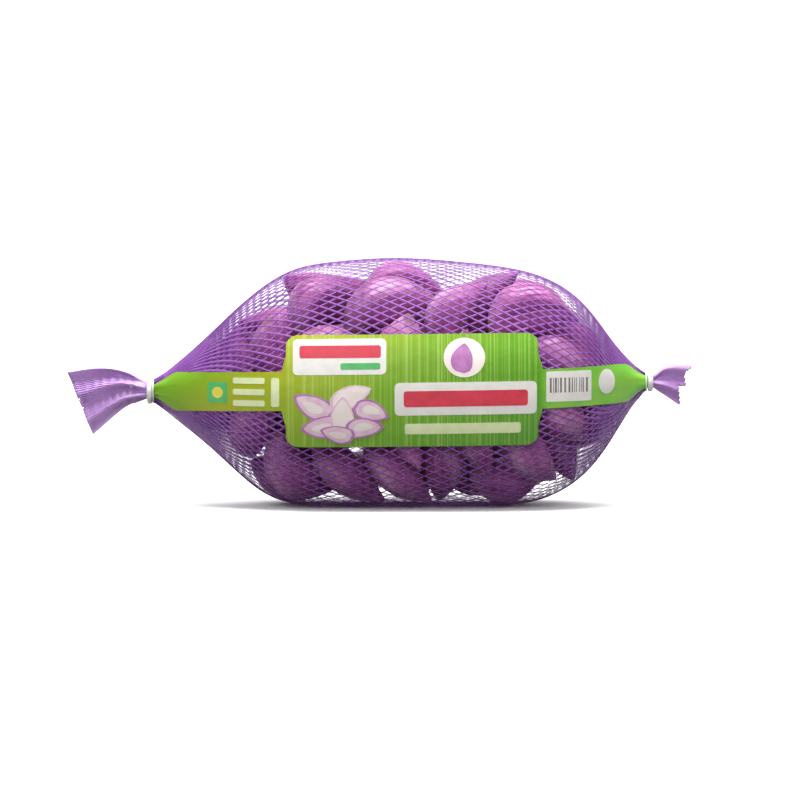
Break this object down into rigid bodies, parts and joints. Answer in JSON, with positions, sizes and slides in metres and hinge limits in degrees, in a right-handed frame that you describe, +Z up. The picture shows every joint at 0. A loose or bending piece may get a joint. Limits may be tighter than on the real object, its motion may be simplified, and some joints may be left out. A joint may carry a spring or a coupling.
{
  "type": "net bag of garlic cloves",
  "caption": "Closed plastic net bag filled with loose garlic cloves, a printed band across its front and a ring clip gathering the net at each end.",
  "frame": {"origin": "middle of the pack's box on the surface it lies on", "axes": "+X along the pack towards its blunter end, +Z up, -Y out through the printed band"},
  "size_m": [0.2152, 0.0728, 0.086],
  "materials": {
    "net": "translucent purple knitted polyethylene",
    "label": "printed film, satin",
    "clip": "moulded white plastic",
    "clove": "papery purple clove skin"
  },
  "bodies": {
    "root": {"clip_left": "clip", "clip_right": "clip", "clove_01": "clove", "clove_02": "clove", "clove_03": "clove", "clove_04": "clove", "clove_05": "clove", "clove_06": "clove", "clove_07": "clove", "clove_08": "clove", "clove_09": "clove", "clove_10": "clove", "clove_11": "clove", "clove_12": "clove", "clove_13": "clove", "clove_14": "clove", "clove_15": "clove", "clove_16": "clove", "clove_17": "clove", "clove_18": "clove", "clove_19": "clove", "clove_20": "clove", "clove_21": "clove", "clove_22": "clove", "clove_23": "clove", "clove_24": "clove", "clove_25": "clove", "clove_26": "clove", "clove_27": "clove", "clove_28": "clove", "clove_29": "clove", "clove_30": "clove", "clove_31": "clove", "clove_32": "clove", "clove_33": "clove", "clove_34": "clove", "clove_35": "clove", "clove_36": "clove", "clove_37": "clove", "clove_38": "clove", "clove_39": "clove", "clove_40": "clove", "clove_41": "clove", "clove_42": "clove", "clove_43": "clove", "clove_44": "clove", "clove_45": "clove", "clove_46": "clove", "clove_47": "clove", "clove_48": "clove", "clove_49": "clove", "clove_50": "clove", "clove_51": "clove", "clove_52": "clove", "clove_53": "clove", "clove_54": "clove", "clove_55": "clove", "clove_56": "clove", "label_band": "label", "net_sleeve": "net"}
  },
  "joints": []
}
